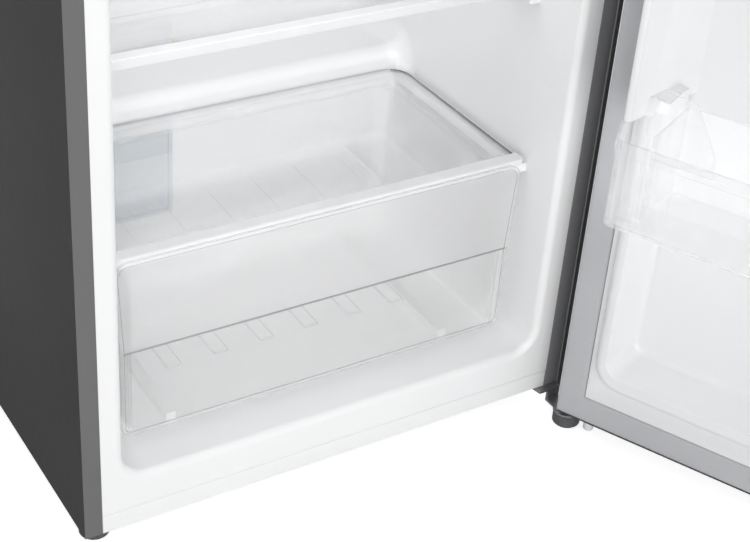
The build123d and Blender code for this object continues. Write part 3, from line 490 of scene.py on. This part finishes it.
drawerFront = {"frostLow": 0.165, "frostBack": 0.052, "panelFace": 0.0443, "smallest": 0.001,
               "lineInside": 0.0034, "lineWide": 0.0009, "lineDeep": 0.0003}
drawer = bpy.data.objects["crisperDrawer"]
drawer.data.materials.append(frostPlastic)
frostFloor = place["cornerZ"] + drawerFront["frostLow"]
pickOnly(drawer)
bpy.ops.object.mode_set(mode="EDIT")
bpy.ops.mesh.select_all(action="SELECT")
bpy.ops.mesh.bisect(plane_co=(0, 0, frostFloor), plane_no=(0, 0, 1))
leaveEdit()
for face in drawer.data.polygons:
    if (face.material_index == 0 and abs(face.normal.y) > 0.5 and face.center.z > frostFloor
            and face.center.y < place["cornerY"] + drawerFront["frostBack"]):
        face.material_index = 2

# A moulded line runs round the drawer's front a few millimetres inside its edge

editFaces(drawer, lambda face: (face.normal.y < -0.99 and face.area > drawerFront["smallest"]
                                and face.center.y < place["cornerY"] + drawerFront["panelFace"]))
bpy.ops.mesh.inset(thickness=drawerFront["lineInside"])
bpy.ops.object.mode_set(mode="OBJECT")
beforeLine = len(drawer.data.polygons)
bpy.ops.object.mode_set(mode="EDIT")
bpy.ops.mesh.inset(thickness=drawerFront["lineWide"], depth=-drawerFront["lineDeep"])
leaveEdit()
# The line's faces take the painted rim shade
for face in drawer.data.polygons:
    if face.index >= beforeLine:
        face.material_index = 1
print("stage: packed pieces softened")


# Door gasket: a soft ring with a bellows groove, modelled on the shut door and swung open with it

gasketShape = {"left": 3.6, "right": 546.4, "low": 1.7, "high": 780, "back": -12,
               "profile": [(0, 10.1), (0.5, 0.6), (0.8, 0.7), (1.2, 0.3), (5.0, 0.0),
                           (6.5, -0.1), (5.0, -0.25), (5.0, -0.5), (2.9, -0.7), (1.2, -1.2),
                           (0.5, -1.6), (0.0, -5.0), (0.2, -0.6)],
               "sheetArea": 0.2}


def addPlateXZ(name, left, right, low, high, y):
    # a flat rectangle standing in X and Z and facing the cabinet
    selectNone()
    middle = inFrame((left + right) / 2, y, (low + high) / 2)
    bpy.ops.mesh.primitive_plane_add(size=1, location=middle,
                                     rotation=(math.radians(-90), 0, 0))
    plate = bpy.context.active_object
    plate.name = name
    plate.data.name = name
    plate.scale = ((right - left) / 1000, (high - low) / 1000, 1)
    bpy.ops.object.transform_apply(location=True, rotation=True, scale=True)
    return plate


def stepProfile(steps):
    # the selected face steps inwards and outwards, one pair of millimetres at a time
    for inwards, outwards in steps:
        if inwards > 0:
            bpy.ops.mesh.inset(thickness=inwards / 1000, depth=outwards / 1000,
                               use_even_offset=True)
        else:
            bpy.ops.mesh.extrude_region_shrink_fatten(
                TRANSFORM_OT_shrink_fatten={"value": outwards / 1000})


gasketPiece = addPlateXZ("doorGasket", gasketShape["left"], gasketShape["right"],
                         gasketShape["low"], gasketShape["high"], gasketShape["back"])
pickOnly(gasketPiece)
bpy.ops.object.mode_set(mode="EDIT")
bpy.ops.mesh.select_mode(type="FACE")
bpy.ops.mesh.select_all(action="SELECT")
stepProfile(gasketShape["profile"])
bpy.ops.mesh.delete(type="FACE")
bpy.ops.object.mode_set(mode="OBJECT")
for face in gasketPiece.data.polygons:
    face.select = facesFront(face) and face.area > gasketShape["sheetArea"]
bpy.ops.object.mode_set(mode="EDIT")
bpy.ops.mesh.delete(type="FACE")
bpy.ops.mesh.select_mode(type="EDGE")
bpy.ops.mesh.select_all(action="DESELECT")
bpy.ops.mesh.select_non_manifold()
bpy.ops.mesh.bridge_edge_loops()
bpy.ops.mesh.select_all(action="SELECT")
bpy.ops.mesh.normals_make_consistent(inside=False)
leaveEdit()
smooth(gasketPiece, 42)
swingOpen(gasketPiece)
finishPiece(gasketPiece, "door", "gasket_grey", gasketRubber, "door_gasket")
print("stage: gasket modelled")

# Blank rating plate stuck on the wall behind the drawer

plateShape = {"left": 128, "right": 226, "low": 141, "high": 240, "wall": 290, "thick": 0.25,
              "border": 4.5, "line": 0.9}
ratingPlate = addBlock("ratingPlate", (plateShape["left"], plateShape["wall"] - plateShape["thick"],
                                       plateShape["low"]),
                       (plateShape["right"], plateShape["wall"], plateShape["high"]))
editFaces(ratingPlate, facesFront)
bpy.ops.mesh.inset(thickness=plateShape["border"] / 1000)
bpy.ops.mesh.inset(thickness=plateShape["line"] / 1000)
leaveEdit()
finishPiece(ratingPlate, "cabinet", "white_plastic", platePaper)
ratingPlate.data.materials.append(plateLine)
ring = [f for f in ratingPlate.data.polygons if f.normal.y < -0.9]
ring.sort(key=lambda f: f.area)
for face in ring[:4]:
    face.material_index = 1
print("stage: rating plate modelled")

# Slim dark edge trim down the cabinet's hinge side, seen in the gap beside the open door

trimShape = {"left": 549.7, "right": 556.2, "front": -0.2, "thick": 1.4, "low": -8, "high": 789.5,
             "rim": 0.8, "step": 0.3, "beadLeft": 549.4, "beadRight": 550.8, "beadFront": -0.9,
             "beadBack": 0.4}
hingeTrim = addBlock("hingeTrim", (trimShape["left"], trimShape["front"], trimShape["low"]),
                     (trimShape["right"], trimShape["front"] + trimShape["thick"],
                      trimShape["high"]))
editFaces(hingeTrim, facesFront)
bpy.ops.mesh.inset(thickness=trimShape["rim"] / 1000)
bpy.ops.mesh.inset(thickness=trimShape["step"] / 1000, depth=-trimShape["step"] / 1000)
leaveEdit()
softEdges(hingeTrim, 0.25, segments=2, angle=40)
finishPiece(hingeTrim, "cabinet", "side_dark", trimSteel)
# A thin pale bead at the trim's left edge is a painted highlight on the cabinet's rounded corner
trimHighlightBead = addBlock("trimHighlightBead", (trimShape["beadLeft"], trimShape["beadFront"], trimShape["low"]),
                    (trimShape["beadRight"], trimShape["beadBack"], trimShape["high"]))
softEdges(trimHighlightBead, 0.4, segments=3, angle=30)
finishPiece(trimHighlightBead, "cabinet", "side_dark", beadHighlight)
print("stage: hinge side trim modelled")

# Raised shoulder of the door liner between the gasket and the dyke, nearly level with the gasket

shoulderShape = {"left": 32.9, "right": 517.1, "low": 31.0, "high": 750.8, "side": 12.5, "foot": 31,
                 "head": 6, "back": -13, "front": -2.2}
linerShoulder = addBlock("linerShoulder",
                         (shoulderShape["left"], shoulderShape["back"], shoulderShape["low"]),
                         (shoulderShape["right"], shoulderShape["front"], shoulderShape["high"]))
editFaces(linerShoulder, lambda face: abs(face.normal.y) > 0.9)
bpy.ops.mesh.inset(thickness=0.01, use_individual=True)
bpy.ops.object.mode_set(mode="OBJECT")
innerLow = inFrame(shoulderShape["left"] + shoulderShape["side"], 0,
                   shoulderShape["low"] + shoulderShape["foot"])
innerHigh = inFrame(shoulderShape["right"] - shoulderShape["side"], 0,
                    shoulderShape["high"] - shoulderShape["head"])
middle = (innerLow + innerHigh) / 2
inner = {i for face in linerShoulder.data.polygons if face.select for i in face.vertices}
for i in inner:
    vertex = linerShoulder.data.vertices[i]
    vertex.co.x = innerHigh.x if vertex.co.x > middle.x else innerLow.x
    vertex.co.z = innerHigh.z if vertex.co.z > middle.z else innerLow.z
bpy.ops.object.mode_set(mode="EDIT")
bpy.ops.mesh.bridge_edge_loops()
bpy.ops.mesh.select_all(action="SELECT")
bpy.ops.mesh.normals_make_consistent(inside=False)
leaveEdit()
softEdges(linerShoulder, 0.9, segments=3, angle=40)
swingOpen(linerShoulder)
finishPiece(linerShoulder, "door", "white_plastic", doorWhite)
print("stage: liner shoulder modelled")

# Thin rib across the drawer's front where the frosted half ends

ribShape = {"left": 61, "right": 489, "front": 43.2, "back": 44.3, "low": 163.4, "high": 165.2}
drawerRib = addBlock("drawerRib", (ribShape["left"], ribShape["front"], ribShape["low"]),
                     (ribShape["right"], ribShape["back"], ribShape["high"]))
editFaces(drawerRib, facesFront)
bpy.ops.mesh.bevel(offset=0.0005, segments=3, affect="EDGES")
leaveEdit()
smooth(drawerRib, 40)
drawerRib.visible_shadow = False
# The rib is drawn in the painted rim shade
finishPiece(drawerRib, "crisper_drawer", "clear_plastic", rimPaintedShade)
print("stage: drawer rib modelled")

# Compressor weld seam, a rolled bead round the middle of the pot

seamShape = {"x": 170, "y": 403, "z": 101, "radius": 56.6, "wide": 5, "thick": 2.2, "steps": 72}
selectNone()
bpy.ops.mesh.primitive_cylinder_add(vertices=seamShape["steps"], radius=seamShape["radius"] / 1000,
                                    depth=seamShape["wide"] / 1000, end_fill_type="NOTHING",
                                    location=inFrame(seamShape["x"], seamShape["y"],
                                                     seamShape["z"]))
weldSeam = bpy.context.active_object
weldSeam.name = weldSeam.data.name = "weldSeam"
bpy.ops.object.transform_apply(location=True, rotation=True, scale=True)
addModifier(weldSeam, "SOLIDIFY", thickness=seamShape["thick"] / 1000, offset=1)
softEdges(weldSeam, 0.8, segments=3, angle=30)
finishPiece(weldSeam, "cabinet", "black_paint", blackPaint)
print("stage: weld seam modelled")


# Round-headed screws with a sunk middle

screwShape = {"radius": 3.6, "head": 1.6, "back": 470.0,
              # each step: how far inwards and how far out, mm
              "steps": ((0.9, 0.5), (1.2, 0.1), (0.6, -0.9)),
              "rowX": (14, 150, 275, 400, 536), "rowZ": (268, 772),
              "edgeX": (8, 542), "edgeZ": (400, 520, 650)}


def addScrew(name, centre, turn):
    # centre is where the head meets the sheet; turn points the head outwards
    selectNone()
    bpy.ops.mesh.primitive_cylinder_add(vertices=28, radius=screwShape["radius"] / 1000,
                                        depth=screwShape["head"] / 1000,
                                        location=(0, 0, screwShape["head"] / 2000))
    head = bpy.context.active_object
    head.name = head.data.name = name
    bpy.ops.object.transform_apply(location=True, rotation=True, scale=True)
    editFaces(head, lambda face: face.normal.z > 0.9)
    for inwards, outwards in screwShape["steps"]:
        bpy.ops.mesh.inset(thickness=inwards / 1000, depth=outwards / 1000)
    leaveEdit()
    smooth(head, 40)
    head.rotation_euler = [math.radians(a) for a in turn]
    head.location = inFrame(*centre)
    bpy.ops.object.transform_apply(location=True, rotation=True, scale=True)
    return head


backScrews = []
screwPlaces = [(x, z) for x in screwShape["rowX"] for z in screwShape["rowZ"]]
screwPlaces += [(x, z) for z in screwShape["edgeZ"] for x in screwShape["edgeX"]]
for x, z in screwPlaces:
    backScrews.append(addScrew("backScrew", (x, screwShape["back"], z), (-90, 0, 0)))
backScrews = joinAll(backScrews, "backScrews")
finishPiece(backScrews, "cabinet", "galvanised", zincSteel)
print("stage: back screws placed")


# Rounded nose along the worktop's front, up to the hinge cover

boardNose = {"left": 7.6, "right": 487.4, "front": -9.6, "back": -7.2, "low": 793, "high": 815}
worktopNose = addBlock("worktopNose", (boardNose["left"], boardNose["front"], boardNose["low"]),
                       (boardNose["right"], boardNose["back"], boardNose["high"]))
softEdges(worktopNose, 1.0, segments=4, angle=30)
finishPiece(worktopNose, "cabinet", "worktop_board", topBoard)
print("stage: worktop nose modelled")


# Light switch under the liner's roof, near its mouth

switchShape = {"left": 289, "right": 311, "front": 14, "back": 34, "low": 742, "high": 750,
               "rim": 3.5, "button": 4}
doorSwitch = addBlock("doorSwitch", (switchShape["left"], switchShape["front"], switchShape["low"]),
                      (switchShape["right"], switchShape["back"], switchShape["high"]))
editFaces(doorSwitch, lambda face: face.normal.z < -0.9)
bpy.ops.mesh.inset(thickness=switchShape["rim"] / 1000, depth=0)
bpy.ops.mesh.extrude_region_shrink_fatten(
    TRANSFORM_OT_shrink_fatten={"value": switchShape["button"] / 1000})
leaveEdit()
softEdges(doorSwitch, 0.8, segments=3, angle=35)
finishPiece(doorSwitch, "cabinet", "white_plastic", nubPlastic)
print("stage: door switch modelled")

# Camera at the photograph's place, floor and lights

view = {"where": (-394.1, -1033.8, 1027.6), "right": (0.8523, -0.5187, 0.0679),
        "up": (0.2362, 0.4974, 0.8347), "ahead": (0.4667, 0.6954, -0.5464), "lens": 75.43}
bpy.ops.object.camera_add()
camera = bpy.context.active_object
camera.data.sensor_width = 36
camera.data.lens = view["lens"]
camera.data.clip_start = 0.05
camera.data.clip_end = 60
basis = Matrix((view["right"], view["up"], [-c for c in view["ahead"]])).transposed().to_4x4()
camera.matrix_world = Matrix.Translation(inFrame(*view["where"])) @ basis
bpy.context.scene.camera = camera
bpy.context.scene.view_settings.view_transform = "Standard"

# place and aim in metres, then the side of the square and the power
panels = {
    "frontPanel": ((-1.15, -3.2, 1.25), (0.05, 0.1, 0.42), 2.2, 57),
    "topPanel": ((0.5, -0.9, 3.2), (0.0, 0.0, 0.4), 2.4, 15),
    "backPanel": ((0.4, 2.6, 2.2), (0.0, 0.0, 0.5), 2.4, 14),
    "cabinetLamp": (inFrame(225, 125, 700), inFrame(390, 250, 140), 0.4, 0.75),
}
room = {"strength": 0.52, "floorSize": 14, "floorGlow": 0.7}


def addPanel(name, where, aim, size, power):
    selectNone()
    bpy.ops.object.light_add(type="AREA", location=where)
    lamp = bpy.context.active_object
    lamp.name = name
    lamp.data.shape = "SQUARE"
    lamp.data.size = size
    lamp.data.energy = power
    lamp.rotation_euler = (Vector(aim) - Vector(where)).to_track_quat("-Z", "Y").to_euler()


for name, settings in panels.items():
    addPanel(name, *settings)

world = bpy.data.worlds.new("studio")
world.use_nodes = True
bpy.context.scene.world = world
worldTree, worldLink = world.node_tree.nodes, world.node_tree.links.new
roomLight = worldTree["Background"]
roomLight.inputs["Color"].default_value = (1, 1, 1, 1)
roomLight.inputs["Strength"].default_value = room["strength"]
seenLight = worldTree.new("ShaderNodeBackground")
seenLight.inputs["Color"].default_value = (1, 1, 1, 1)
seenLight.inputs["Strength"].default_value = 1.0
lookPath = worldTree.new("ShaderNodeLightPath")
anyLook = worldTree.new("ShaderNodeMath")
anyLook.operation = "MAXIMUM"
moreLook = worldTree.new("ShaderNodeMath")
moreLook.operation = "MAXIMUM"
worldMix = worldTree.new("ShaderNodeMixShader")
worldLink(lookPath.outputs["Is Camera Ray"], anyLook.inputs[0])
worldLink(lookPath.outputs["Is Transmission Ray"], anyLook.inputs[1])
worldLink(anyLook.outputs[0], moreLook.inputs[0])
worldLink(lookPath.outputs["Is Glossy Ray"], moreLook.inputs[1])
worldLink(moreLook.outputs[0], worldMix.inputs["Fac"])
worldLink(roomLight.outputs[0], worldMix.inputs[1])
worldLink(seenLight.outputs[0], worldMix.inputs[2])
worldLink(worldMix.outputs[0], worldTree["World Output"].inputs["Surface"])

selectNone()
bpy.ops.mesh.primitive_plane_add(size=room["floorSize"], location=(0, 0, 0))
floor = bpy.context.active_object
floor.name = "studioFloor"
floorPaint = bpy.data.materials.new("floorPaint")
floorPaint.use_nodes = True
floorTree, floorLink = floorPaint.node_tree.nodes, floorPaint.node_tree.links.new
floorShader = floorTree["Principled BSDF"]
floorShader.inputs["Base Color"].default_value = (0.9, 0.9, 0.9, 1)
floorShader.inputs["Roughness"].default_value = 0.6
floorShader.inputs["Specular IOR Level"].default_value = 0.1
lit = floorTree.new("ShaderNodeEmission")
lit.inputs["Strength"].default_value = room["floorGlow"]
lit.inputs["Color"].default_value = (1, 1, 1, 1)
seenOnly = floorTree.new("ShaderNodeLightPath")
floorLook = floorTree.new("ShaderNodeMath")
floorLook.operation = "MAXIMUM"
glow = floorTree.new("ShaderNodeMixShader")
nothing = floorTree.new("ShaderNodeEmission")
nothing.inputs["Strength"].default_value = 0.0
both = floorTree.new("ShaderNodeAddShader")
floorLink(seenOnly.outputs["Is Camera Ray"], floorLook.inputs[0])
floorLink(seenOnly.outputs["Is Transmission Ray"], floorLook.inputs[1])
floorLink(floorLook.outputs[0], glow.inputs["Fac"])
floorLink(nothing.outputs[0], glow.inputs[1])
floorLink(lit.outputs[0], glow.inputs[2])
floorLink(floorShader.outputs[0], both.inputs[0])
floorLink(glow.outputs[0], both.inputs[1])
floorLink(both.outputs[0], floorTree["Material Output"].inputs["Surface"])
floor.data.materials.append(floorPaint)
print("stage: camera, floor and lights set")
